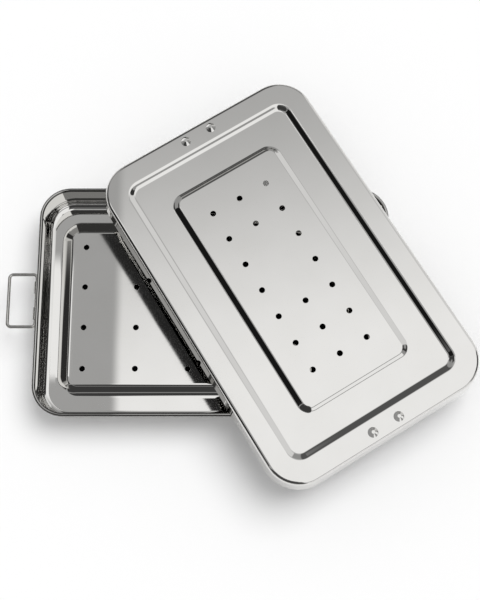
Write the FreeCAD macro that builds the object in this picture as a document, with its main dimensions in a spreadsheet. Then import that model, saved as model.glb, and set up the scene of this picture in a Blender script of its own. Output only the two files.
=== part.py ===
"""Sterilization container: a pressed steel tray with two wire bails and a perforated lid.

Millimetres, +Z up. The origin is the centre of the tray at the level it stands on.
The lid is taken off and lies askew across the tray, level on its rolled rim.
"""
import FreeCAD, Part
import math
import os

import Sketcher

DOC = FreeCAD.newDocument("sterilization_container")
SIZES = DOC.addObject("Spreadsheet::Sheet", "Sizes")

# Every size that can be chosen by itself. Lengths in millimetres, angles in degrees.
DRIVING_SIZES = [
    ("sheet_thickness", 0.8, "gauge of the stainless sheet, tray and lid"),
    ("tray_length", 238.0, "over the rolled rim"),
    ("tray_width", 157.6, "over the rolled rim"),
    ("tray_height", 25.5, "from the table to the top of the rim"),
    ("rim_corner_radius", 21.0, "plan radius of the rim's outside"),
    ("bead_diameter", 2.4, "rolled bead around the rim"),
    ("wall_draft", 2.0, "lean of the tray's walls"),
    ("heel_radius", 5.5, "outside radius between wall and foot ring"),
    ("end_foot_width", 6.4, "flat ring that the tray stands on, at its ends"),
    ("side_foot_width", 11.2, "the same ring, along its long sides"),
    ("floor_rise", 2.4, "height of the raised floor over the foot ring"),
    ("floor_step_width", 6.5, "sloping step between foot ring and floor"),
    ("floor_corner_radius", 12.0, "plan radius of the raised floor"),
    ("step_fillet", 1.6, "rounding at the top and bottom of every pressed step"),
    ("hole_diameter", 4.0, "drain and steam holes, tray and lid"),
    ("floor_columns", 6, "holes along the tray"),
    ("floor_rows", 4, "holes across the tray"),
    ("floor_column_pitch", 35.8, "spacing of the holes along the tray"),
    ("floor_row_pitch", 28.7, "spacing of the holes across the tray"),
    ("lid_length", 250.0, "over the bottom edge of the skirt"),
    ("lid_side_clearance", 0.4, "between rim and skirt on each long side when shut"),
    ("lid_depth", 13.9, "from the skirt's edge to the top of the lid"),
    ("lid_corner_radius", 25.0, "plan radius at the skirt's edge"),
    ("lid_draft", 7.0, "flare of the skirt"),
    ("shoulder_radius", 2.5, "rounding from the lid's top to its skirt"),
    ("channel_depth", 2.6, "recessed ring between border and centre panel"),
    ("channel_step_width", 4.0, "sloping side of the recessed ring, seen from above"),
    ("channel_length", 213.6, "outside of the recessed ring, along the lid"),
    ("channel_width", 128.0, "outside of the recessed ring, across the lid"),
    ("channel_corner_radius", 9.5, "plan radius of the ring's outside"),
    ("panel_length", 163.6, "flat of the centre panel along the lid"),
    ("panel_width", 75.0, "flat of the centre panel across the lid"),
    ("panel_corner_radius", 5.0, "plan radius of the centre panel"),
    ("lid_rows", 7, "holes along the lid"),
    ("lid_hole_pitch", 20.7, "spacing of the lid's holes, both ways"),
    ("dimple_diameter", 7.6, "pressed bumps near the ends of the lid"),
    ("dimple_height", 2.2, "how far they stand up"),
    ("dimple_spacing", 19.6, "between the two bumps of a pair"),
    ("dimple_inset", 8.8, "from the skirt's edge to the bumps"),
    ("wire_diameter", 2.3, "bail wire"),
    ("bail_width", 36.2, "between the middles of the bail's legs"),
    ("bail_reach", 18.55, "from hinge bar to grip bar, middle to middle"),
    ("bail_bend_radius", 2.6, "bend of the wire, to its middle"),
    ("hinge_height", 20.8, "middle of the hinge bar over the table"),
    ("hinge_running_clearance", 0.05, "radial, between wire and clip"),
    ("clip_gauge", 0.6, "sheet of the hinge clips"),
    ("clip_width", 8.0, "length of a clip along the hinge bar"),
    ("clip_spacing", 18.0, "between the middles of a pair of clips"),
    ("clip_tab_drop", 8.0, "welded tab, from the hinge bar down"),
    ("weld_gap", 0.05, "between a clip's tab and the tray's wall"),
    ("lid_rest_gap", 0.3, "left between the rim and the resting skirt"),
    ("lid_shift_along", 49.7, "middle of the resting lid from the tray's middle"),
    ("lid_shift_across", 12.95, "middle of the resting lid from the tray's middle"),
    ("lid_turn", -58.58, "turn of the resting lid's long axis from the tray's"),
]

# Sizes that follow from the ones above.
DERIVED_SIZES = [
    ("wall_height", "tray_height - bead_diameter / 2"),
    ("wall_lean", "wall_height * tan(wall_draft * 1 deg)"),
    ("base_length", "tray_length - bead_diameter - 2 * wall_lean"),
    ("base_width", "tray_width - bead_diameter - 2 * wall_lean"),
    ("base_corner_radius", "rim_corner_radius - bead_diameter / 2 - wall_lean"),
    ("well_length", "base_length - 2 * heel_radius - 2 * end_foot_width"),
    ("well_width", "base_width - 2 * heel_radius - 2 * side_foot_width"),
    ("floor_step_angle", "atan(floor_step_width / floor_rise) / 1 deg"),
    ("floor_step_shift", "sheet_thickness * tan(45 deg - floor_step_angle * 0.5 deg)"),
    ("lid_width", "tray_width + 2 * lid_side_clearance + 2 * sheet_thickness"),
    ("channel_angle", "atan(channel_step_width / channel_depth) / 1 deg"),
    ("channel_step_shift", "sheet_thickness * tan(45 deg - channel_angle * 0.5 deg)"),
    ("island_length", "panel_length + 2 * channel_step_width"),
    ("island_width", "panel_width + 2 * channel_step_width"),
    ("island_corner_radius", "panel_corner_radius + channel_step_width"),
    ("clip_bore_radius", "wire_diameter / 2 + hinge_running_clearance"),
    ("clip_outer_radius", "clip_bore_radius + clip_gauge"),
    ("clip_seat", "base_length / 2 + hinge_height * tan(wall_draft * 1 deg) + weld_gap"),
    ("hinge_reach", "clip_seat + clip_outer_radius"),
]


def fill_sheet():
    """Write the sizes into the sheet, one row each: name, value, note."""
    row = 1
    for alias, value, note in DRIVING_SIZES:
        SIZES.set("A%d" % row, alias)
        SIZES.set("B%d" % row, str(value))
        SIZES.set("C%d" % row, note)
        SIZES.setAlias("B%d" % row, alias)
        row += 1
    for alias, rule in DERIVED_SIZES:
        SIZES.set("A%d" % row, alias)
        SIZES.set("B%d" % row, "=" + rule)
        SIZES.setAlias("B%d" % row, alias)
        row += 1
    DOC.recompute()


def sheet_rule(rule):
    """Point every size name in a rule at the sheet."""
    names = [entry[0] for entry in DRIVING_SIZES] + [entry[0] for entry in DERIVED_SIZES]
    word = ""
    text = ""
    for letter in rule + " ":
        if letter.isalnum() or letter == "_":
            word += letter
            continue
        text += "Sizes." + word if word in names else word
        text += letter
        word = ""
    return text.strip()


def number(rule):
    """The value of a rule, for a first guess or a count."""
    value = SIZES.evalExpression(sheet_rule(rule))
    return float(getattr(value, "Value", value))


def bind(thing, prop, rule):
    """Tie one property to the sheet."""
    thing.setExpression(prop, sheet_rule(rule))


def new_body(name):
    body = DOC.addObject("PartDesign::Body", name)
    body.Label = name
    return body


def origin_plane(body, role):
    for feature in body.Origin.OriginFeatures:
        if feature.Role == role:
            return feature
    raise ValueError("no plane " + role)


def new_sketch(body, name, role, height="0"):
    """A sketch on one of the body's own planes, lifted off it by height."""
    sketch = body.newObject("Sketcher::SketchObject", name)
    sketch.AttachmentSupport = (origin_plane(body, role), [""])
    sketch.MapMode = "FlatFace"
    bind(sketch, "AttachmentOffset.Base.z", height)
    return sketch


def name_constraint(sketch, constraint, name, rule):
    index = sketch.addConstraint(constraint)
    sketch.renameConstraint(index, name)
    bind(sketch, "Constraints." + name, rule)


def rounded_rectangle(sketch, length, width, radius):
    """A rectangle with round corners about the sketch's origin."""
    a = number(length) / 2
    b = number(width) / 2
    r = number(radius)
    first = sketch.GeometryCount
    up = FreeCAD.Vector(0, 0, 1)
    corners = [(a - r, r - b, -90), (a - r, b - r, 0), (r - a, b - r, 90), (r - a, r - b, 180)]
    sides = [
        ((r - a, -b), (a - r, -b)),
        ((a, r - b), (a, b - r)),
        ((a - r, b), (r - a, b)),
        ((-a, b - r), (-a, r - b)),
    ]
    for start, end in sides:
        sketch.addGeometry(Part.LineSegment(FreeCAD.Vector(*start, 0), FreeCAD.Vector(*end, 0)))
    for x, y, angle in corners:
        circle = Part.Circle(FreeCAD.Vector(x, y, 0), up, r)
        sketch.addGeometry(Part.ArcOfCircle(circle, math.radians(angle), math.radians(angle + 90)))
    for side in range(4):
        line = first + side
        arc = first + 4 + side
        following = first + (side + 1) % 4
        sketch.addConstraint(Sketcher.Constraint("Tangent", line, 2, arc, 1))
        sketch.addConstraint(Sketcher.Constraint("Tangent", arc, 2, following, 1))
    sketch.addConstraint(Sketcher.Constraint("Horizontal", first))
    sketch.addConstraint(Sketcher.Constraint("Vertical", first + 1))
    sketch.addConstraint(Sketcher.Constraint("Horizontal", first + 2))
    sketch.addConstraint(Sketcher.Constraint("Vertical", first + 3))
    sketch.addConstraint(Sketcher.Constraint("Equal", first + 4, first + 6))
    sketch.addConstraint(Sketcher.Constraint("Symmetric", first + 4, 3, first + 6, 3, -1, 1))
    along = Sketcher.Constraint("DistanceX", first + 6, 3, first + 4, 3, 2 * (a - r))
    across = Sketcher.Constraint("DistanceY", first + 4, 3, first + 6, 3, 2 * (b - r))
    name_constraint(sketch, along, "along%d" % first, "%s - 2 * (%s)" % (length, radius))
    name_constraint(sketch, across, "across%d" % first, "%s - 2 * (%s)" % (width, radius))
    name_constraint(sketch, Sketcher.Constraint("Radius", first + 4, r), "corner%d" % first, radius)


def circle_at(sketch, x, y, diameter):
    """A circle whose middle and size follow the sheet."""
    middle = FreeCAD.Vector(number(x), number(y), 0)
    circle = Part.Circle(middle, FreeCAD.Vector(0, 0, 1), number(diameter) / 2)
    index = sketch.addGeometry(circle)
    size = Sketcher.Constraint("Diameter", index, number(diameter))
    name_constraint(sketch, size, "size%d" % index, diameter)
    for kind, prefix, rule in (("DistanceX", "x", x), ("DistanceY", "y", y)):
        if number(rule) == 0:
            target = -2 if kind == "DistanceX" else -1
            sketch.addConstraint(Sketcher.Constraint("PointOnObject", index, 3, target))
            continue
        place = Sketcher.Constraint(kind, -1, 1, index, 3, number(rule))
        name_constraint(sketch, place, "%s%d" % (prefix, index), rule)


def pad(body, name, sketch, height, taper=None, downward=False):
    feature = body.newObject("PartDesign::Pad", name)
    feature.Profile = sketch
    bind(feature, "Length", height)
    feature.Reversed = downward
    if taper:
        bind(feature, "TaperAngle", taper)
    DOC.recompute()
    return feature


def pocket(body, name, sketch, depth, taper=None, upward=False):
    """Cut a sketch into the body and make sure that it did cut."""
    before = body.Shape.Volume
    feature = body.newObject("PartDesign::Pocket", name)
    feature.Profile = sketch
    bind(feature, "Length", depth)
    feature.Reversed = upward
    if taper:
        bind(feature, "TaperAngle", taper)
    DOC.recompute()
    if body.Shape.Volume >= before:
        raise ValueError(name + " cut nothing")
    return feature


def level_edges(shape, height, length, width, inside):
    """Names of the level edges at a height, inside or outside a rectangle."""
    names = []
    for index, edge in enumerate(shape.Edges, 1):
        box = edge.BoundBox
        if abs(box.ZMin - height) > 1e-3 or abs(box.ZMax - height) > 1e-3:
            continue
        reach_x = max(abs(box.XMin), abs(box.XMax))
        reach_y = max(abs(box.YMin), abs(box.YMax))
        within = reach_x < length / 2 and reach_y < width / 2
        if within == inside:
            names.append("Edge%d" % index)
    return names


def fillet(body, name, base, edges, radius):
    feature = body.newObject("PartDesign::Fillet", name)
    feature.Base = (base, edges)
    bind(feature, "Radius", radius)
    DOC.recompute()
    return feature


def wire_ring(body, name, profile, spine):
    feature = body.newObject("PartDesign::AdditivePipe", name)
    feature.Profile = profile
    feature.Spine = (spine, ["Edge%d" % (index + 1) for index in range(len(spine.Shape.Edges))])
    feature.Mode = "Frenet"
    DOC.recompute()
    return feature


def punches(name, spots, diameter, bottom, height):
    """Round punches for a grid of holes, as one tool."""
    tool = new_body(name)
    sketch = new_sketch(tool, name + "Spots", "XY_Plane", bottom)
    for x, y in spots:
        circle_at(sketch, x, y, diameter)
    pad(tool, name + "Punches", sketch, height)
    return tool


def fuse(name, pieces):
    joined = DOC.addObject("Part::MultiFuse", name)
    joined.Shapes = pieces
    DOC.recompute()
    return joined


def cut(name, base, tool):
    result = DOC.addObject("Part::Cut", name)
    result.Base = base
    result.Tool = tool
    DOC.recompute()
    if result.Shape.Volume >= base.Shape.Volume:
        raise ValueError(name + " cut nothing")
    return result


def tray_form(name, shift, bottom, height, concave, convex):
    """One face of the pressed tray as a solid: the outside (no shift) or the hollow inside it."""
    body = new_body(name)
    outline = new_sketch(body, name + "Outline", "XY_Plane", bottom)
    level = "%s * tan(wall_draft * 1 deg)" % bottom
    rounded_rectangle(outline, "base_length - 2 * (%s) + 2 * %s" % (shift, level),
                      "base_width - 2 * (%s) + 2 * %s" % (shift, level), "base_corner_radius - %s" % shift)
    pad(body, name + "Walls", outline, height, "wall_draft")
    well = new_sketch(body, name + "Well", "XY_Plane", bottom)
    spread = "0" if bottom == "0" else "floor_step_shift"
    length = "well_length + 2 * %s" % spread
    width = "well_width + 2 * %s" % spread
    rounded_rectangle(well, length, width, "floor_corner_radius + %s" % spread)
    form = pocket(body, name + "Floor", well, "floor_rise", "0 - floor_step_angle", upward=True)
    low = number(bottom)
    around = (number(length) + 1, number(width) + 1)
    bottom_edges = level_edges(form.Shape, low, *around, False)
    heel = fillet(body, name + "Heel", form, bottom_edges, "heel_radius - %s" % shift)
    feet = level_edges(heel.Shape, low, *around, True)
    toe = fillet(body, name + "StepFoot", heel, feet, convex if bottom == "0" else concave)
    high = level_edges(toe.Shape, low + number("floor_rise"), *around, True)
    fillet(body, name + "StepCrown", toe, high, concave if bottom == "0" else convex)
    return body


def make_tray():
    """The pressed tray: rolled rim, leaning walls, foot ring and raised perforated floor."""
    concave = "step_fillet"
    convex = "step_fillet + sheet_thickness"
    outside = tray_form("TrayOutside", "0", "0", "wall_height", concave, convex)
    inside = tray_form("TrayInside", "sheet_thickness", "sheet_thickness", "wall_height", concave, convex)
    sheet = cut("TraySheet", outside, inside)
    rim = new_body("RolledRim")
    path = new_sketch(rim, "RimPath", "XY_Plane", "wall_height")
    rounded_rectangle(path, "tray_length - bead_diameter", "tray_width - bead_diameter",
                      "rim_corner_radius - bead_diameter / 2")
    section = new_sketch(rim, "RimSection", "XZ_Plane")
    circle_at(section, "tray_length / 2 - bead_diameter / 2", "wall_height", "bead_diameter")
    DOC.recompute()
    wire_ring(rim, "RolledBead", section, path)
    pressed = fuse("PressedTray", [sheet, rim])
    columns = int(number("floor_columns"))
    rows = int(number("floor_rows"))
    spots = []
    for column in range(columns):
        for row in range(rows):
            along = "floor_column_pitch * %g" % (column - (columns - 1) / 2)
            across = "floor_row_pitch * %g" % (row - (rows - 1) / 2)
            spots.append((along, across))
    drain = punches("DrainHoles", spots, "hole_diameter", "0", "floor_rise + 2 * sheet_thickness")
    return cut("tray", pressed, drain)


def lid_form(name, shift, concave, convex):
    """One face of the pressed lid as a solid: the outside (no shift) or the hollow under it."""
    body = new_body(name)
    outline = new_sketch(body, name + "Outline", "XY_Plane")
    rounded_rectangle(outline, "lid_length - 2 * (%s)" % shift, "lid_width - 2 * (%s)" % shift,
                      "lid_corner_radius - %s" % shift)
    top = "lid_depth - %s" % shift
    block = pad(body, name + "Skirt", outline, top, "0 - lid_draft")
    edges = level_edges(block.Shape, number(top), 0, 0, False)
    fillet(body, name + "Shoulder", block, edges, "shoulder_radius - %s" % shift)
    spread = "0" if shift == "0" else "channel_step_shift"
    channel = new_sketch(body, name + "Channel", "XY_Plane", top)
    length = "channel_length + 2 * %s" % spread
    width = "channel_width + 2 * %s" % spread
    rounded_rectangle(channel, length, width, "channel_corner_radius + %s" % spread)
    pocket(body, name + "Recess", channel, "channel_depth", "0 - channel_angle")
    island = new_sketch(body, name + "Island", "XY_Plane", top + " - channel_depth")
    rounded_rectangle(island, "island_length - 2 * %s" % spread, "island_width - 2 * %s" % spread,
                      "island_corner_radius - %s" % spread)
    panel = pad(body, name + "Panel", island, "channel_depth", "0 - channel_angle")
    around = (number(length) + 1, number(width) + 1)
    high = level_edges(panel.Shape, number(top), *around, True)
    crown = fillet(body, name + "StepCrowns", panel, high, convex)
    low = level_edges(crown.Shape, number(top + " - channel_depth"), *around, True)
    fillet(body, name + "StepFeet", crown, low, concave)
    return body


def dimple(name, along, across, shift):
    """One pressed bump, as the cone of its outside or of the hollow under it."""
    cone = DOC.addObject("Part::Cone", name)
    bind(cone, "Radius1", "dimple_diameter / 2 - %s / 2" % shift)
    bind(cone, "Radius2", "dimple_diameter / 2 * 0.3 - %s / 4" % shift)
    bind(cone, "Height", "dimple_height + sheet_thickness / 2")
    bind(cone, "Placement.Base.x", "%d * (lid_length / 2 - dimple_inset)" % along)
    bind(cone, "Placement.Base.y", "%d * dimple_spacing / 2" % across)
    bind(cone, "Placement.Base.z", "lid_depth - sheet_thickness / 2 - %s" % shift)
    return cone


def make_lid():
    """The pressed lid, in its own frame: long axis along X, skirt's edge at height zero."""
    concave = "step_fillet"
    convex = "step_fillet + sheet_thickness"
    outside = lid_form("LidOutside", "0", concave, convex)
    inside = lid_form("LidInside", "sheet_thickness", convex, concave)
    bumps = []
    hollows = []
    for along in (-1, 1):
        for across in (-1, 1):
            tag = "%d%d" % (along + 1, across + 1)
            bumps.append(dimple("DimpleOutside" + tag, along, across, "0"))
            hollows.append(dimple("DimpleInside" + tag, along, across, "sheet_thickness"))
    rows = int(number("lid_rows"))
    middle = (rows - 1) // 2
    spots = []
    for row in range(rows):
        for column in (-1, 0, 1):
            # The middle row of holes leaves two places plain.
            if column == 0 and row in (middle - 1, middle):
                continue
            along = "lid_hole_pitch * %g" % (row - (rows - 1) / 2)
            across = "lid_hole_pitch * %d" % column
            spots.append((along, across))
    under = "lid_depth - 2 * sheet_thickness"
    steam = punches("SteamHoles", spots, "hole_diameter", under, "3 * sheet_thickness")
    solid = fuse("LidSolid", [outside] + bumps)
    tools = fuse("LidTools", [inside, steam] + hollows)
    result = cut("lid", solid, tools)
    bind(result, "Placement.Base.x", "lid_shift_along")
    bind(result, "Placement.Base.y", "lid_shift_across")
    bind(result, "Placement.Base.z", "tray_height + lid_rest_gap")
    bind(result, "Placement.Rotation.Angle", "lid_turn")
    return result


def make_bail(name, side):
    """A closed rectangle of wire, lying level, its hinge bar through the clips."""
    body = new_body(name)
    path = new_sketch(body, name + "Path", "XY_Plane")
    rounded_rectangle(path, "bail_reach", "bail_width", "bail_bend_radius")
    section = new_sketch(body, name + "Section", "XZ_Plane")
    circle_at(section, "bail_reach / 2", "0", "wire_diameter")
    DOC.recompute()
    wire_ring(body, name + "Wire", section, path)
    bind(body, "Placement.Base.x", "%d * (hinge_reach + bail_reach / 2)" % side)
    bind(body, "Placement.Base.z", "hinge_height")
    return body


def make_clip(name, side, across):
    """A strip of sheet curled round the hinge bar, with a tab welded to the tray's wall."""
    curl = DOC.addObject("Part::Cylinder", name + "Curl")
    bore = DOC.addObject("Part::Cylinder", name + "Bore")
    tab = DOC.addObject("Part::Box", name + "Tab")
    turn = FreeCAD.Rotation(FreeCAD.Vector(1, 0, 0), -90)
    for cylinder, radius, extra in ((curl, "clip_outer_radius", 0), (bore, "clip_bore_radius", 1)):
        cylinder.Placement = FreeCAD.Placement(FreeCAD.Vector(0, 0, 0), turn)
        bind(cylinder, "Radius", radius)
        bind(cylinder, "Height", "clip_width + %d" % (2 * extra))
        bind(cylinder, "Placement.Base.x", "%d * hinge_reach" % side)
        bind(cylinder, "Placement.Base.y", "%d * clip_spacing / 2 - clip_width / 2 - %d" % (across, extra))
        bind(cylinder, "Placement.Base.z", "hinge_height")
    bind(tab, "Length", "clip_gauge")
    bind(tab, "Width", "clip_width")
    bind(tab, "Height", "clip_tab_drop")
    bind(tab, "Placement.Base.x", "clip_seat" if side > 0 else "0 - clip_seat - clip_gauge")
    bind(tab, "Placement.Base.y", "%d * clip_spacing / 2 - clip_width / 2" % across)
    bind(tab, "Placement.Base.z", "hinge_height - clip_tab_drop")
    return cut(name, fuse(name + "Strip", [curl, tab]), bore)


def check_model(nodes):
    """Stop if any object failed or any sub-part is empty or broken."""
    DOC.recompute()
    for thing in DOC.Objects:
        if "Invalid" in thing.State or "Error" in thing.State:
            raise RuntimeError("%s is in state %s" % (thing.Name, thing.State))
    for node in nodes:
        if node.Shape.isNull() or not node.Shape.isValid():
            raise RuntimeError(node.Label + " has no valid shape")


def main():
    fill_sheet()
    nodes = [make_tray(), make_lid()]
    for name, side in (("left", -1), ("right", 1)):
        nodes.append(make_bail(name + "_bail", side))
        for place, across in (("front", -1), ("rear", 1)):
            nodes.append(make_clip("%s_%s_clip" % (name, place), side, across))
    check_model(nodes)
    os.makedirs("parts", exist_ok=True)
    for node in nodes:
        node.Shape.exportStep("parts/%s.step" % node.Label)
        print("%-18s %10.1f mm3, %d faces, %d solids" % (
            node.Label, node.Shape.Volume, len(node.Shape.Faces), len(node.Shape.Solids)))


main()
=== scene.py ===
import math

import bmesh
import bpy
from mathutils import Matrix, Vector


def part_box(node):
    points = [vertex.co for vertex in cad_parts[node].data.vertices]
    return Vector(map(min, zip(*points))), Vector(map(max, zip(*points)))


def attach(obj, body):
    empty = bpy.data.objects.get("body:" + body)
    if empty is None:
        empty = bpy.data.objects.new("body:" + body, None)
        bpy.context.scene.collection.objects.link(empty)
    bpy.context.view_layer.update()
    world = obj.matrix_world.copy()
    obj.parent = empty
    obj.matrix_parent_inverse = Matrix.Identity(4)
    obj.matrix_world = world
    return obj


bl_info = {
    "name": "Sterilization Container",
    "version": (1, 0, 0),
    "blender": (4, 5, 0),
    "location": "3D View > Sidebar > Container",
    "description": "Finishes, small details, studio and camera for a pressed steel sterilization container",
    "category": "Object",
}

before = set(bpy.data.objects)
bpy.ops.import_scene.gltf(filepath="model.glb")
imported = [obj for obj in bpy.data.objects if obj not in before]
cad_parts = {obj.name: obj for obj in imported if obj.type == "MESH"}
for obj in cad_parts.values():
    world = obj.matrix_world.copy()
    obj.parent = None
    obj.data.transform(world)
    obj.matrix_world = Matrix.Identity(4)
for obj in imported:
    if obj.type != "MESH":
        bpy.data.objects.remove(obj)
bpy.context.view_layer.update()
MM = 0.001

# How the lid lies: its turn, and its middle in plan.
LID_TURN = math.radians(-58.58)
LID_MIDDLE = Vector((49.7 * MM, 12.95 * MM, 0))

# The pressed steps, in millimetres: half length, half width and corner radius of the outline
# through the middle, then how far from it the slope starts and is full on the inner side, is
# full and ends on the outer side, and its steepness, which is negative where it falls inwards.
FLOOR_STEP = (101.95, 56.95, 8.9, -3.9, -1.4, 1.0, 6.0, 0.40)
CHANNEL_STEP = (106.2, 61.6, 8.3, -2.6, -0.5, 0.4, 2.5, -0.70)
PANEL_STEP = (83.8, 39.5, 7.0, -2.4, -0.8, 0.8, 2.4, 0.70)
# How far past the first step's outline the sheet is still level, in millimetres.
FLOOR_REACH = 8.0
LID_REACH = 5.0
# The upright share of a normal over which a face counts as the sheet's top.
TOP_FACE = 0.75

# The tray's rolled rim, in millimetres: half length, half width and corner radius along its
# middle, how far to the side of it the painted shade starts and is full, the height of the rim's
# foot, and how far over the foot the painted shade is full. The shade is painted in place of the
# dark reflections that the curl shows.
RIM_OUTLINE = (117.8, 77.6, 19.8)
RIM_SHADE_START = 0.25
RIM_SHADE_FULL = 0.8
RIM_FOOT = 23.6
RIM_RISE = 0.3
# The painted shade's dark colour, and its share along the rim's middle and at its sides.
RIM_SHADE_COLOUR = "#5A5957"
RIM_SHADE_SHARES = (0.35, 0.97)

# The holes: their radius, the level that they are punched through, how many there are along
# and across, and their spacing. The lid's middle row has two places with no hole.
HOLE_RADIUS = 2.0 * MM
FLOOR_TOP = 3.2 * MM
FLOOR_HOLES = (6, 4)
FLOOR_PITCH = (35.8 * MM, 28.7 * MM)
LID_TOP = 39.7 * MM
LID_HOLES = (7, 3)
LID_PITCH = 20.7 * MM
LID_BARE = ((2, 1), (3, 1))

# Sizes behind the finishes, in millimetres: the buff's cloudy patches, the sheet's waves and
# their height, the depth of the lines, and how far apart they are drawn on the small parts.
CLOUD_SIZE = 30
WAVE_SIZE = 45
WAVE_HEIGHT = 0.012
SCRATCH_DEPTH = 0.004
FINE_LINES = 0.3

# How blurred the small parts' shine is.
STRIP_ROUGHNESS = 0.2
EDGE_ROUGHNESS = 0.15
SPOT_ROUGHNESS = 0.38
SEAM_ROUGHNESS = 0.3

# The spot-weld marks: thickness of the disc, how far its middle rises and the electrode's dent
# sinks, the widths of the two slopes as shares of the diameter, the places along a clip as
# shares of its length, and the height over the clip's lowest edge.
SPOT_THICKNESS = 0.16 * MM
SPOT_RISE = 0.04 * MM
SPOT_DENT = 0.08 * MM
SPOT_SLOPES = (0.12, 0.14)
SPOT_SHARES = (0.27, 0.73)
SPOT_HEIGHT = 2.3 * MM
# How far out the search for a clip's tab starts.
SEARCH_START = 0.2

# The butt-weld bead round a bail's wire: its middle lies just outside the wire.
BAIL_LOW, BAIL_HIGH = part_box("left_bail")
WIRE_RADIUS = (BAIL_HIGH[2] - BAIL_LOW[2]) / 2
BEAD_RADIUS = WIRE_RADIUS + 0.02 * MM
BEAD_THICKNESS = 0.34 * MM

# Faces that meet at less than this are shaded as one smooth surface.
SMOOTH_ANGLE = math.radians(40)


# Colours and nodes

def linear(hex_colour):
    """An sRGB hex colour as linear RGBA."""
    channels = []
    for start in (1, 3, 5):
        value = int(hex_colour[start:start + 2], 16) / 255
        channels.append(value / 12.92 if value <= 0.04045 else ((value + 0.055) / 1.055) ** 2.4)
    return (*channels, 1.0)


def add_node(tree, kind, links=None, **settings):
    """Add a node, set its properties and input values, and link its inputs.

    An input that is given as None keeps its default.
    """
    node = tree.nodes.new(kind)
    for name, value in settings.items():
        setattr(node, name, value)
    for name, source in (links or {}).items():
        socket = node.inputs[name]
        if isinstance(source, bpy.types.NodeSocket):
            tree.links.new(source, socket)
        elif source is not None:
            socket.default_value = source
    return node


def new_material(name):
    """A material with an empty node tree."""
    material = bpy.data.materials.new(name)
    material.use_nodes = True
    material.node_tree.nodes.clear()
    return material, material.node_tree


def step_outline(tree, own, half_length, half_width, radius):
    """How far a place lies outside a rounded rectangle, and the level direction away from it."""
    straight = Vector((half_length - radius, half_width - radius, 0))
    away = add_node(tree, "ShaderNodeVectorMath", {0: own}, operation="ABSOLUTE").outputs[0]
    past = add_node(tree, "ShaderNodeVectorMath", {0: away, 1: straight}, operation="SUBTRACT").outputs[0]
    past = add_node(tree, "ShaderNodeVectorMath", {0: past, 1: (0, 0, 0)}, operation="MAXIMUM").outputs[0]
    length = add_node(tree, "ShaderNodeVectorMath", {0: past}, operation="LENGTH").outputs["Value"]
    distance = add_node(tree, "ShaderNodeMath", {0: length, 1: radius}, operation="SUBTRACT").outputs[0]
    side = add_node(tree, "ShaderNodeVectorMath", {0: own}, operation="SIGN").outputs[0]
    along = add_node(tree, "ShaderNodeVectorMath", {0: past}, operation="NORMALIZE").outputs[0]
    direction = add_node(tree, "ShaderNodeVectorMath", {
        0: along, 1: side}, operation="MULTIPLY").outputs[0]
    return distance, direction


def pressed_normal(tree, place, middle, turn, reach, steps):
    """Normals of a sheet whose steps are rounded the way a press leaves them.

    A pressed step has no flat slope: it leaves one level softly, is steepest half-way and
    runs out softly into the other. Each step is an outline through its middle, with the
    distances where the slope starts and is full on the inner and outer side, and its steepness.
    """
    turned = add_node(tree, "ShaderNodeVectorRotate", {
        "Vector": place, "Center": middle, "Angle": -turn}, rotation_type="Z_AXIS").outputs[0]
    off = add_node(tree, "ShaderNodeVectorMath", {0: turned, 1: middle}, operation="SUBTRACT").outputs[0]
    own = add_node(tree, "ShaderNodeVectorMath", {0: off, 1: (1, 1, 0)}, operation="MULTIPLY").outputs[0]
    tilt = add_node(tree, "ShaderNodeCombineXYZ", {"Z": 1.0}).outputs[0]
    first_distance = None
    for half_length, half_width, radius, inner, inner_full, outer_full, outer, steepness in steps:
        distance, direction = step_outline(tree, own, half_length * MM, half_width * MM, radius * MM)
        first_distance = first_distance or distance
        leave = add_node(tree, "ShaderNodeMapRange", {
            "Value": distance, "From Min": inner * MM, "From Max": inner_full * MM}).outputs[0]
        arrive = add_node(tree, "ShaderNodeMapRange", {
            "Value": distance, "From Min": outer * MM, "From Max": outer_full * MM}).outputs[0]
        both = add_node(tree, "ShaderNodeMath", {0: leave, 1: arrive}, operation="MULTIPLY").outputs[0]
        slope = add_node(tree, "ShaderNodeMath", {0: both, 1: steepness}, operation="MULTIPLY").outputs[0]
        tilt = add_node(tree, "ShaderNodeVectorMath", {
            0: direction, 1: slope, 2: tilt}, operation="MULTIPLY_ADD").outputs[0]
    back = add_node(tree, "ShaderNodeVectorRotate", {
        "Vector": tilt, "Angle": turn}, rotation_type="Z_AXIS").outputs[0]
    pressed = add_node(tree, "ShaderNodeVectorMath", {0: back}, operation="NORMALIZE").outputs[0]
    normal = add_node(tree, "ShaderNodeNewGeometry").outputs["Normal"]
    upward = add_node(tree, "ShaderNodeSeparateXYZ", {0: normal}).outputs["Z"]
    on_top = add_node(tree, "ShaderNodeMath", {
        0: upward, 1: TOP_FACE}, operation="GREATER_THAN").outputs[0]
    within = add_node(tree, "ShaderNodeMath", {
        0: first_distance, 1: reach * MM}, operation="LESS_THAN").outputs[0]
    where = add_node(tree, "ShaderNodeMath", {0: on_top, 1: within}, operation="MULTIPLY").outputs[0]
    return add_node(tree, "ShaderNodeMix", {
        "Factor": where, "A": normal, "B": pressed}, data_type="VECTOR").outputs["Result"]


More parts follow.
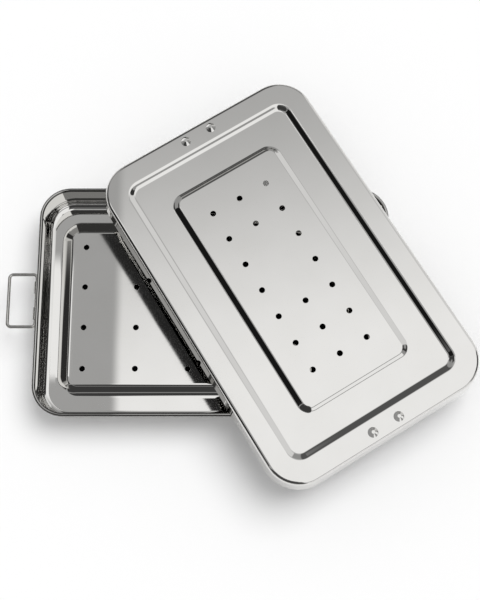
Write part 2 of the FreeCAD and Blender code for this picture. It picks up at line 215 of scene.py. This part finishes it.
def rim_painted_shade(tree, place, tint):
    """Paint shade onto the rolled rim, darker at its sides than along its top, in place of the dark
    reflections that its curl shows.
    """
    half_length, half_width, radius = (size * MM for size in RIM_OUTLINE)
    level = add_node(tree, "ShaderNodeVectorMath", {
        0: place, 1: (1, 1, 0)}, operation="MULTIPLY").outputs[0]
    distance = step_outline(tree, level, half_length, half_width, radius)[0]
    from_top = add_node(tree, "ShaderNodeMath", {0: distance}, operation="ABSOLUTE").outputs[0]
    # Painted shade: nearly full at the rim's sides, about a third along its top.
    dull = add_node(tree, "ShaderNodeMapRange", {
        "Value": from_top, "From Min": RIM_SHADE_START * MM, "From Max": RIM_SHADE_FULL * MM,
        "To Min": RIM_SHADE_SHARES[0], "To Max": RIM_SHADE_SHARES[1]}).outputs[0]
    height = add_node(tree, "ShaderNodeSeparateXYZ", {0: place}).outputs["Z"]
    on_rim = add_node(tree, "ShaderNodeMapRange", {
        "Value": height, "From Min": RIM_FOOT * MM, "From Max": (RIM_FOOT + RIM_RISE) * MM}).outputs[0]
    share = add_node(tree, "ShaderNodeMath", {0: dull, 1: on_rim}, operation="MULTIPLY").outputs[0]
    return add_node(tree, "ShaderNodeMix", {
        "Factor": share, "A": tint, "B": linear(RIM_SHADE_COLOUR)}, data_type="RGBA").outputs["Result"]


def bright_steel(name, colours, roughness, line_turn, line_spacing,
                 wave=None, pressing=None, rim=False):
    """Stainless steel, bright rolled or drawn, and buffed where it is sheet.

    What gives it to the eye: mirror reflections whose edges swim a little because pressed
    sheet is never flat, a very fine haze of lines all running one way, and faint cloudy
    patches where the buff has cut less. Wire and strip have one colour and no waves.
    A pressing is the middle, turn, reach and steps that pressed_normal takes.
    """
    material, tree = new_material(name)
    place = add_node(tree, "ShaderNodeTexCoord").outputs["Object"]
    # Buffing and drawing lines: real ones are about 0.05 mm apart, drawn coarser so that they show.
    turned = add_node(tree, "ShaderNodeMapping", {"Vector": place, "Rotation": (0, 0, -line_turn)})
    drawn_out = add_node(tree, "ShaderNodeMapping", {
        "Vector": turned.outputs[0], "Scale": (0.03, 1, 0.3)})
    lines = add_node(tree, "ShaderNodeTexNoise", {
        "Vector": drawn_out.outputs[0], "Scale": 1 / (line_spacing * MM),
        "Detail": 4.0, "Roughness": 0.6}).outputs["Fac"]
    clouds = add_node(tree, "ShaderNodeTexNoise", {
        "Vector": place, "Scale": 1 / (CLOUD_SIZE * MM),
        "Detail": 3.0, "Roughness": 0.55}).outputs["Fac"]
    haze = add_node(tree, "ShaderNodeMath", {0: lines, 1: clouds}, operation="MULTIPLY")
    rough = add_node(tree, "ShaderNodeMapRange", {
        "Value": haze.outputs[0], "From Min": 0.12, "From Max": 0.42,
        "To Min": roughness * 0.7, "To Max": roughness * 1.5})
    tint = linear(colours[0])
    if len(colours) > 1:
        tint = add_node(tree, "ShaderNodeMix", {
            "Factor": clouds, "A": tint, "B": linear(colours[1])}, data_type="RGBA").outputs["Result"]
    # The tray's rolled rim gets painted shade, darker at its sides, in place of its dark reflections.
    if rim:
        tint = rim_painted_shade(tree, place, tint)
    normal = pressed_normal(tree, place, *pressing) if pressing else None
    if wave:
        # Pressed sheet waves by about a hundredth of a millimetre over a few centimetres.
        waves = add_node(tree, "ShaderNodeTexNoise", {
            "Vector": place, "Scale": 1 / (WAVE_SIZE * MM), "Detail": 1.0, "Roughness": 0.4})
        normal = add_node(tree, "ShaderNodeBump", {
            "Strength": 1.0, "Distance": wave * MM, "Height": waves.outputs["Fac"],
            "Normal": normal}).outputs[0]
    scratches = add_node(tree, "ShaderNodeBump", {
        "Strength": 0.06, "Distance": SCRATCH_DEPTH * MM, "Height": lines, "Normal": normal})
    shader = add_node(tree, "ShaderNodeBsdfPrincipled", {
        "Base Color": tint, "Metallic": 1.0,
        "Roughness": rough.outputs[0], "Normal": scratches.outputs[0]})
    add_node(tree, "ShaderNodeOutputMaterial", {"Surface": shader.outputs[0]})
    return material


def dress(node, material):
    """Give a CAD node its finish, in the slots that it came with."""
    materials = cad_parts[node].data.materials
    for index in range(len(materials)):
        materials[index] = material


# Modelling

def deselect():
    """Go back to object mode with nothing selected."""
    if bpy.context.mode != "OBJECT":
        bpy.ops.object.mode_set(mode="OBJECT")
    bpy.ops.object.select_all(action="DESELECT")


def pick(piece):
    """Select one piece alone and make it active."""
    deselect()
    piece.select_set(True)
    bpy.context.view_layer.objects.active = piece


def edit(piece):
    """Go into edit mode on one piece with nothing selected in it."""
    pick(piece)
    bpy.ops.object.mode_set(mode="EDIT")
    bpy.ops.mesh.select_mode(type="FACE")
    bpy.ops.mesh.select_all(action="DESELECT")


def pick_faces(piece, wanted):
    """Select the faces whose middle and normal pass a test."""
    cage = bmesh.from_edit_mesh(piece.data)
    for face in cage.faces:
        face.select_set(wanted(face.calc_center_median(), face.normal))
    bmesh.update_edit_mesh(piece.data)


def rounded_ring(radius, thickness, width=None):
    """A rounded ring about Z at the origin, drawn out along Z where its width is given."""
    deselect()
    bpy.ops.mesh.primitive_torus_add(
        major_radius=radius, minor_radius=thickness / 2, major_segments=32, minor_segments=10)
    ring = bpy.context.active_object
    ring.scale.z = (width or thickness) / thickness
    bpy.ops.object.transform_apply(location=True, rotation=True, scale=True)
    return ring


def copy_piece(piece, place, turn=None):
    """Another of a piece with its own mesh, put in its place."""
    pick(piece)
    bpy.ops.object.duplicate(linked=False)
    other = bpy.context.active_object
    if turn:
        other.rotation_mode = "QUATERNION"
        other.rotation_quaternion = turn
    other.location = place
    return other


def remove_pattern(piece):
    """Delete the pattern that the copies were made from."""
    pick(piece)
    bpy.ops.object.delete()


def finish_piece(piece, name, material, body):
    """Put the place into the mesh, name the piece, shade it and let it ride on its body."""
    pick(piece)
    bpy.ops.object.transform_apply(location=True, rotation=True, scale=True)
    bpy.ops.object.shade_smooth_by_angle(angle=SMOOTH_ANGLE)
    piece.name = name
    piece.data.name = name
    piece.data.materials.clear()
    piece.data.materials.append(material)
    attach(piece, body)


# Sizes and colours that a user may change

class ContainerFinish(bpy.types.PropertyGroup):
    """Colours and shine of the steel"""
    steel_light: bpy.props.StringProperty(
        name="Steel, light patches", description="sRGB hex colour of the buffed sheet", default="#E6E5E3")
    steel_dark: bpy.props.StringProperty(
        name="Steel, dull patches", description="sRGB hex colour where the buff cut less", default="#DEDDDA")
    wire: bpy.props.StringProperty(
        name="Wire", description="sRGB hex colour of the bail wire", default="#C9C8C5")
    strip: bpy.props.StringProperty(
        name="Strip", description="sRGB hex colour of the hinge clips", default="#C4C3C0")
    sheet_roughness: bpy.props.FloatProperty(
        name="Sheet roughness", description="Blur of the mirror finish", default=0.02, min=0.0, max=1.0)
    wire_roughness: bpy.props.FloatProperty(
        name="Wire roughness", description="Blur of the drawn wire's shine", default=0.16, min=0.0, max=1.0)
    polish_width: bpy.props.FloatProperty(
        name="Buffing line width", description="Spacing of the buffing lines, in millimetres",
        default=0.5, min=0.1)


class ContainerDetail(bpy.types.PropertyGroup):
    """Sizes of the punched edges and the welds"""
    burr: bpy.props.FloatProperty(
        name="Punched edge", description="Thickness of the rounded edge round a punched hole",
        default=0.12 * MM, unit="LENGTH", min=0.00005)
    weld_diameter: bpy.props.FloatProperty(
        name="Spot weld", description="Diameter of a spot-weld mark",
        default=2.2 * MM, unit="LENGTH", min=0.0005)
    seam_width: bpy.props.FloatProperty(
        name="Wire seam", description="Width of the butt weld's bead on a bail's hinge bar",
        default=1.2 * MM, unit="LENGTH", min=0.0005)


class ContainerStage(bpy.types.PropertyGroup):
    """Table, lamps and lens"""
    floor_colour: bpy.props.StringProperty(
        name="Floor", description="sRGB hex colour of the table", default="#F4F4F4")
    floor_size: bpy.props.FloatProperty(
        name="Floor size", description="Side of the square table", default=8.0, unit="LENGTH", min=1.0)
    sun_strength: bpy.props.FloatProperty(
        name="Key light", description="Strength of the soft key light", default=1.75, min=0.0)
    fill_strength: bpy.props.FloatProperty(
        name="Fill light", description="Strength of the surrounding light", default=0.62, min=0.0)
    lens: bpy.props.FloatProperty(
        name="Lens", description="Focal length of the camera",
        default=65.24 * MM, unit="CAMERA", min=0.01)


# Pieces

class CONTAINER_OT_sheet(bpy.types.Operator):
    """Give the tray and the lid their buffed stainless finish"""
    bl_idname = "container.sheet"
    bl_label = "Tray and Lid"

    def execute(self, context):
        finish = context.scene.container_finish
        colours = (finish.steel_light, finish.steel_dark)
        # Buffed sheet shows its surroundings almost as a mirror does, a little softened.
        # The tray's finish also paints shade onto its rolled rim.
        tray = bright_steel(
            "Stainless sheet, buffed along the tray", colours, finish.sheet_roughness, 0.0,
            finish.polish_width, WAVE_HEIGHT,
            (Vector((0, 0, 0)), 0.0, FLOOR_REACH, (FLOOR_STEP,)), rim=True)
        lid = bright_steel(
            "Stainless sheet, buffed along the lid", colours, finish.sheet_roughness, LID_TURN,
            finish.polish_width, WAVE_HEIGHT,
            (LID_MIDDLE, LID_TURN, LID_REACH, (CHANNEL_STEP, PANEL_STEP)))
        dress("tray", tray)
        dress("lid", lid)
        return {"FINISHED"}


class CONTAINER_OT_wire(bpy.types.Operator):
    """Give the bails and the hinge clips their bright drawn and rolled finish"""
    bl_idname = "container.wire"
    bl_label = "Bails and Clips"

    def execute(self, context):
        finish = context.scene.container_finish
        # Drawn wire and rolled strip aren't buffed, so they are greyer and their shine is softer.
        along_bars = math.radians(90)
        wire = bright_steel("Stainless wire, bright drawn", (finish.wire,),
                            finish.wire_roughness, along_bars, FINE_LINES)
        strip = bright_steel("Stainless strip, bright rolled", (finish.strip,),
                             STRIP_ROUGHNESS, along_bars, FINE_LINES)
        for side in ("left", "right"):
            dress(side + "_bail", wire)
            for end in ("front", "rear"):
                dress("%s_%s_clip" % (side, end), strip)
        return {"FINISHED"}


class CONTAINER_OT_edges(bpy.types.Operator):
    """Add the rounded edges that the punch leaves round the holes of tray and lid"""
    bl_idname = "container.edges"
    bl_label = "Punched Edges"

    def execute(self, context):
        detail = context.scene.container_detail
        finish = context.scene.container_finish
        # The punch drags the edge, and the buff rounds it, so it shines less than the sheet.
        steel = bright_steel("Stainless sheet, punched edge", (finish.steel_light, finish.steel_dark),
                             EDGE_ROUGHNESS, 0.0, finish.polish_width)
        pattern = rounded_ring(HOLE_RADIUS, detail.burr)
        columns, rows = FLOOR_HOLES
        for column in range(columns):
            for row in range(rows):
                x = FLOOR_PITCH[0] * (column - (columns - 1) / 2)
                y = FLOOR_PITCH[1] * (row - (rows - 1) / 2)
                ring = copy_piece(pattern, Vector((x, y, FLOOR_TOP)))
                name = "drain_hole_edge_%d_%d" % (column + 1, row + 1)
                finish_piece(ring, name, steel, "tray")
        turn = Matrix.Rotation(LID_TURN, 3, "Z")
        rows, columns = LID_HOLES
        for row in range(rows):
            for column in range(columns):
                if (row, column) in LID_BARE:
                    continue
                x = LID_PITCH * (row - (rows - 1) / 2)
                y = LID_PITCH * (column - (columns - 1) / 2)
                ring = copy_piece(pattern, LID_MIDDLE + turn @ Vector((x, y, LID_TOP)))
                name = "steam_hole_edge_%d_%d" % (row + 1, column + 1)
                finish_piece(ring, name, steel, "lid")
        remove_pattern(pattern)
        return {"FINISHED"}


class CONTAINER_OT_welds(bpy.types.Operator):
    """Add the spot-weld marks on the clips' tabs and the butt-weld bead on each bail"""
    bl_idname = "container.welds"
    bl_label = "Weld Marks"

    def execute(self, context):
        detail = context.scene.container_detail
        finish = context.scene.container_finish
        # The electrodes leave round marks that are duller than the strip.
        mark = bright_steel("Stainless, spot weld", (finish.strip,), SPOT_ROUGHNESS, 0.0, FINE_LINES)
        deselect()
        bpy.ops.mesh.primitive_cylinder_add(
            vertices=32, radius=detail.weld_diameter / 2, depth=SPOT_THICKNESS)
        pattern = context.active_object
        edit(pattern)
        pick_faces(pattern, lambda middle, normal: normal.z > 0.9)
        for slope, lift in zip(SPOT_SLOPES, (SPOT_RISE, -SPOT_DENT)):
            bpy.ops.mesh.inset(thickness=detail.weld_diameter * slope)
            bpy.ops.transform.translate(value=(0, 0, lift))
        bpy.ops.object.mode_set(mode="OBJECT")
        for side_name, side in (("left", -1), ("right", 1)):
            outwards = Vector((side, 0, 0))
            for end_name in ("front", "rear"):
                clip_name = "%s_%s_clip" % (side_name, end_name)
                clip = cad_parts[clip_name]
                low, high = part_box(clip_name)
                for number, share in enumerate(SPOT_SHARES, 1):
                    y = low[1] + (high[1] - low[1]) * share
                    start = Vector((side * SEARCH_START, y, low[2] + SPOT_HEIGHT))
                    found, spot, _normal, _face = clip.ray_cast(start, -outwards)
                    if not found:
                        raise RuntimeError("no tab for the weld mark on " + clip_name)
                    disc = copy_piece(pattern, spot, outwards.to_track_quat("Z", "Y"))
                    name = "%s_%s_weld_%d" % (side_name, end_name, number)
                    finish_piece(disc, name, mark, "tray")
        remove_pattern(pattern)

        # The weld's bead is duller than the drawn wire.
        wire = bright_steel("Stainless wire, butt weld", (finish.wire,), SEAM_ROUGHNESS, 0.0, FINE_LINES)
        pattern = rounded_ring(BEAD_RADIUS, BEAD_THICKNESS, detail.seam_width)
        for side_name, side in (("left", -1), ("right", 1)):
            low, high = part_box(side_name + "_bail")
            inner = high[0] if side < 0 else low[0]
            place = Vector((inner + side * WIRE_RADIUS, 0, (low[2] + high[2]) / 2))
            bead = copy_piece(pattern, place, Vector((0, 1, 0)).to_track_quat("Z", "X"))
            finish_piece(bead, side_name + "_bail_seam", wire, side_name + "_bail")
        remove_pattern(pattern)
        return {"FINISHED"}


# Stage

# The camera's place, its tilt from looking straight down, and its film's width in millimetres.
CAMERA_PLACE = (17.565 * MM, -185.870 * MM, 727.610 * MM)
CAMERA_TILT = math.radians(14.768)
SENSOR_WIDTH = 36

# Where the key light stands, the line that it shines along, and how wide it looks.
KEY_PLACE = (0.8, 0.9, 2.0)
KEY_LINE = Vector((-0.62, -0.60, -1.6))
KEY_WIDTH = math.radians(42)

# The black card under the raised floor, painted shade in place of the shadow there, and how high it lies
# over the table.
SHADE_CARD_SIZE = (208 * MM, 118 * MM)
SHADE_CARD_HEIGHT = 0.1 * MM

# The light tent's brightness, where 1 is white: the roof where it is brightest and dimmest, the
# grey wall, the white sheet, the black card and the dim room that shows low down.
TENT_RADIUS = 30.0
ROOF_BRIGHT = 1.04
ROOF_DIM = 0.50
WALL = 0.43
SHEET = 1.05
CARD = 0.02
ROOM = 0.34

# Edges in the tent: where each starts and is full. The roof, wall, sheet and card are read as
# leans, which are how far a direction goes right or back for each step up. The card's line gives
# its lean to the right as a share of its lean back, and a start. The room's edge is an elevation.
ROOF_FALL = (0.16, 0.50)
ROOF_RIGHT_SHARE = -0.25
WALL_SIDE = (-0.1125, -0.1235)
SHEET_SIDE = (-0.162, -0.168)
SHEET_FOOT = (0.180, 0.192)
SHEET_TOP = (0.315, 0.295)
CARD_LINE = (-0.6258, 0.0700)
CARD_NEAR_SIDE = (-0.0012, 0.0012)
CARD_FAR_SIDE = (0.0222, 0.0205)
CARD_FOOT = (0.148, 0.152)
CARD_TOP = (0.345, 0.338)
ROOM_TOP = (math.radians(52), math.radians(44))

# Flags and soft boxes in the tent, in degrees: middle azimuth counted from +X towards +Y, half
# width, lowest and highest elevation, then brightness, and how many degrees the edges fade over.
FLAGS = (
    (191, 13, 16, 56, 0.01, 6),
    (158, 14, 30, 60, 0.05, 6),
    (103, 9, 4, 58, 0.10, 6),
    (-112, 34, 20, 80, 0.05, 4),
    (-112, 36, 63, 66, 0.28, 2),
    (-49, 22, 6, 53, 1.02, 5),
    (-49, 24, 29, 41, 0.36, 3),
    (42, 16, 6, 47, 0.80, 5),
    (8, 12, 14, 48, 0.04, 5),
)


def hang(tree, level, brightness, edges):
    """Hang a cloth or card in the tent, which shows where it is past all its edges.

    Each edge is a reading of the direction, where the cloth starts and where it is full.
    """
    shown = None
    for reading, start, full in edges:
        edge = add_node(tree, "ShaderNodeMapRange", {
            "Value": reading, "From Min": start, "From Max": full},
            interpolation_type="SMOOTHSTEP").outputs[0]
        if shown:
            edge = add_node(tree, "ShaderNodeMath", {0: shown, 1: edge}, operation="MULTIPLY").outputs[0]
        shown = edge
    return add_node(tree, "ShaderNodeMix", {
        "Factor": shown, "A": level, "B": brightness}, data_type="FLOAT").outputs["Result"]


def tent_material():
    """A light tent of white cloth with dark flags, seen only by reflections."""
    material, tree = new_material("Tent cloth and flags, lit")
    place = add_node(tree, "ShaderNodeTexCoord").outputs["Object"]
    along = add_node(tree, "ShaderNodeVectorMath", {0: place}, operation="NORMALIZE")
    x, y, z = add_node(tree, "ShaderNodeSeparateXYZ", {0: along.outputs[0]}).outputs
    lean_right = add_node(tree, "ShaderNodeMath", {0: x, 1: z}, operation="DIVIDE").outputs[0]
    lean_back = add_node(tree, "ShaderNodeMath", {0: y, 1: z}, operation="DIVIDE").outputs[0]
    azimuth = add_node(tree, "ShaderNodeMath", {0: y, 1: x}, operation="ARCTAN2").outputs[0]
    height = add_node(tree, "ShaderNodeMath", {0: z}, operation="ARCSINE").outputs[0]

    # The roof is brightest overhead and to the front, and falls off towards the back and the left.
    fall = add_node(tree, "ShaderNodeMath", {
        0: lean_right, 1: ROOF_RIGHT_SHARE, 2: lean_back}, operation="MULTIPLY_ADD").outputs[0]
    level = add_node(tree, "ShaderNodeMapRange", {
        "Value": fall, "From Min": ROOF_FALL[0], "From Max": ROOF_FALL[1],
        "To Min": ROOF_BRIGHT, "To Max": ROOF_DIM}, interpolation_type="SMOOTHSTEP").outputs[0]
    # Left of the camera the roof stops at a grey wall, with a white sheet hung on it further out.
    level = hang(tree, level, WALL, ((lean_right, *WALL_SIDE),))
    level = hang(tree, level, SHEET, (
        (lean_right, *SHEET_SIDE), (lean_back, *SHEET_FOOT), (lean_back, *SHEET_TOP)))
    # A narrow black card runs beside the lid's long edge and deepens its reflection in the tray.
    card_edge = add_node(tree, "ShaderNodeMath", {
        0: lean_back, 1: CARD_LINE[0], 2: CARD_LINE[1]}, operation="MULTIPLY_ADD").outputs[0]
    beside = add_node(tree, "ShaderNodeMath", {
        0: lean_right, 1: card_edge}, operation="SUBTRACT").outputs[0]
    level = hang(tree, level, CARD, (
        (beside, *CARD_NEAR_SIDE), (beside, *CARD_FAR_SIDE),
        (lean_back, *CARD_TOP), (lean_back, *CARD_FOOT)))
    # Low down the roof ends and the dim room shows.
    level = hang(tree, level, ROOM, ((height, *ROOM_TOP),))

    for middle, half, low, high, brightness, soft in FLAGS:
        turned = add_node(tree, "ShaderNodeMath", {
            0: azimuth, 1: math.radians(middle)}, operation="SUBTRACT").outputs[0]
        wrapped = add_node(tree, "ShaderNodeMath", {
            0: turned, 1: math.pi, 2: -math.pi}, operation="WRAP").outputs[0]
        off = add_node(tree, "ShaderNodeMath", {0: wrapped}, operation="ABSOLUTE").outputs[0]
        level = hang(tree, level, brightness, (
            (off, math.radians(half + soft), math.radians(half)),
            (height, math.radians(low - soft / 2), math.radians(low)),
            (height, math.radians(high + soft), math.radians(high))))
    glow = add_node(tree, "ShaderNodeEmission", {"Color": linear("#FFFFFF"), "Strength": level})
    add_node(tree, "ShaderNodeOutputMaterial", {"Surface": glow.outputs[0]})
    return material


def matt_material(name, colour, roughness):
    """A matt surface of one colour, with no shine of its own."""
    material, tree = new_material(name)
    shader = add_node(tree, "ShaderNodeBsdfPrincipled", {
        "Base Color": linear(colour), "Roughness": roughness, "Specular IOR Level": 0.0})
    add_node(tree, "ShaderNodeOutputMaterial", {"Surface": shader.outputs[0]})
    return material


class CONTAINER_OT_stage(bpy.types.Operator):
    """Build the table, the light tent, the lamps and the camera"""
    bl_idname = "container.stage"
    bl_label = "Stage"

    def execute(self, context):
        scene = context.scene
        settings = scene.container_stage
        deselect()
        bpy.ops.mesh.primitive_plane_add(size=settings.floor_size, location=(0, 0, 0))
        floor = context.active_object
        floor.name = "table"
        floor.data.materials.append(matt_material("Laminate, matt white", settings.floor_colour, 0.9))

        # A black card under the tray's raised floor is painted shade: it stands in for the shadow under the
        # tray and makes the drain holes read dark.
        deselect()
        bpy.ops.mesh.primitive_plane_add(size=1.0, location=(0, 0, SHADE_CARD_HEIGHT))
        card = context.active_object
        card.name = "painted_shade_card"
        card.scale = (*SHADE_CARD_SIZE, 1)
        bpy.ops.object.transform_apply(location=True, rotation=False, scale=True)
        card.data.materials.append(matt_material("Card, matt black, painted shade", "#0A0A0A", 0.95))

        # The tent is half a sphere, and only reflections see it.
        deselect()
        bpy.ops.mesh.primitive_uv_sphere_add(
            segments=48, ring_count=24, radius=TENT_RADIUS, location=(0, 0, 0))
        tent = context.active_object
        tent.name = "light_tent"
        edit(tent)
        pick_faces(tent, lambda middle, normal: middle.z < 0)
        bpy.ops.mesh.delete(type="FACE")
        bpy.ops.mesh.select_all(action="SELECT")
        bpy.ops.mesh.flip_normals()
        bpy.ops.object.mode_set(mode="OBJECT")
        tent.data.materials.append(tent_material())
        tent.visible_camera = False
        tent.visible_diffuse = False
        tent.visible_shadow = False
        tent.visible_transmission = False
        tent.visible_volume_scatter = False

        # The surroundings look white, and light the object with less than that.
        world = bpy.data.worlds.new("White surroundings")
        scene.world = world
        world.use_nodes = True
        tree = world.node_tree
        tree.nodes.clear()
        path = add_node(tree, "ShaderNodeLightPath")
        seen = add_node(tree, "ShaderNodeMath", {
            0: path.outputs["Is Camera Ray"], 1: path.outputs["Is Glossy Ray"]}, operation="MAXIMUM")
        seen = add_node(tree, "ShaderNodeMath", {
            0: seen.outputs[0], 1: path.outputs["Is Transmission Ray"]}, operation="MAXIMUM")
        strength = add_node(tree, "ShaderNodeMapRange", {
            "Value": seen.outputs[0], "To Min": settings.fill_strength, "To Max": 1.0})
        back = add_node(tree, "ShaderNodeBackground", {
            "Color": linear("#FFFFFF"), "Strength": strength.outputs[0]})
        add_node(tree, "ShaderNodeOutputWorld", {"Surface": back.outputs[0]})

        bpy.ops.object.light_add(type="SUN", location=KEY_PLACE)
        key = context.active_object
        key.name = "key_light"
        key.rotation_euler = KEY_LINE.to_track_quat("-Z", "Y").to_euler()
        key.data.energy = settings.sun_strength
        key.data.angle = KEY_WIDTH
        key.visible_glossy = False

        bpy.ops.object.camera_add(location=CAMERA_PLACE, rotation=(CAMERA_TILT, 0, 0))
        camera = context.active_object
        camera.name = "camera"
        camera.data.lens = settings.lens / MM
        camera.data.sensor_width = SENSOR_WIDTH
        camera.data.sensor_fit = "AUTO"
        camera.data.clip_start = 10 * MM
        scene.camera = camera
        scene.view_settings.view_transform = "Standard"
        return {"FINISHED"}


class CONTAINER_PT_panel(bpy.types.Panel):
    """Finishes and pieces of the sterilization container"""
    bl_idname = "CONTAINER_PT_panel"
    bl_label = "Sterilization Container"
    bl_space_type = "VIEW_3D"
    bl_region_type = "UI"
    bl_category = "Container"

    def draw(self, context):
        layout = self.layout
        scene = context.scene
        for group in (scene.container_finish, scene.container_detail, scene.container_stage):
            box = layout.box()
            for name in group.bl_rna.properties.keys():
                if name not in ("rna_type", "name"):
                    box.prop(group, name)
        column = layout.column(align=True)
        for operator in OPERATORS:
            column.operator(operator.bl_idname)


GROUPS = (ContainerFinish, ContainerDetail, ContainerStage)
OPERATORS = (
    CONTAINER_OT_sheet,
    CONTAINER_OT_wire,
    CONTAINER_OT_edges,
    CONTAINER_OT_welds,
    CONTAINER_OT_stage,
)
CLASSES = (*GROUPS, *OPERATORS, CONTAINER_PT_panel)


def register():
    for each in CLASSES:
        bpy.utils.register_class(each)
    bpy.types.Scene.container_finish = bpy.props.PointerProperty(type=ContainerFinish)
    bpy.types.Scene.container_detail = bpy.props.PointerProperty(type=ContainerDetail)
    bpy.types.Scene.container_stage = bpy.props.PointerProperty(type=ContainerStage)


def unregister():
    del bpy.types.Scene.container_stage
    del bpy.types.Scene.container_detail
    del bpy.types.Scene.container_finish
    for each in reversed(CLASSES):
        bpy.utils.unregister_class(each)


def main():
    register()
    bpy.ops.container.sheet()
    bpy.ops.container.wire()
    bpy.ops.container.edges()
    bpy.ops.container.welds()
    bpy.ops.container.stage()


if __name__ == "__main__":
    main()
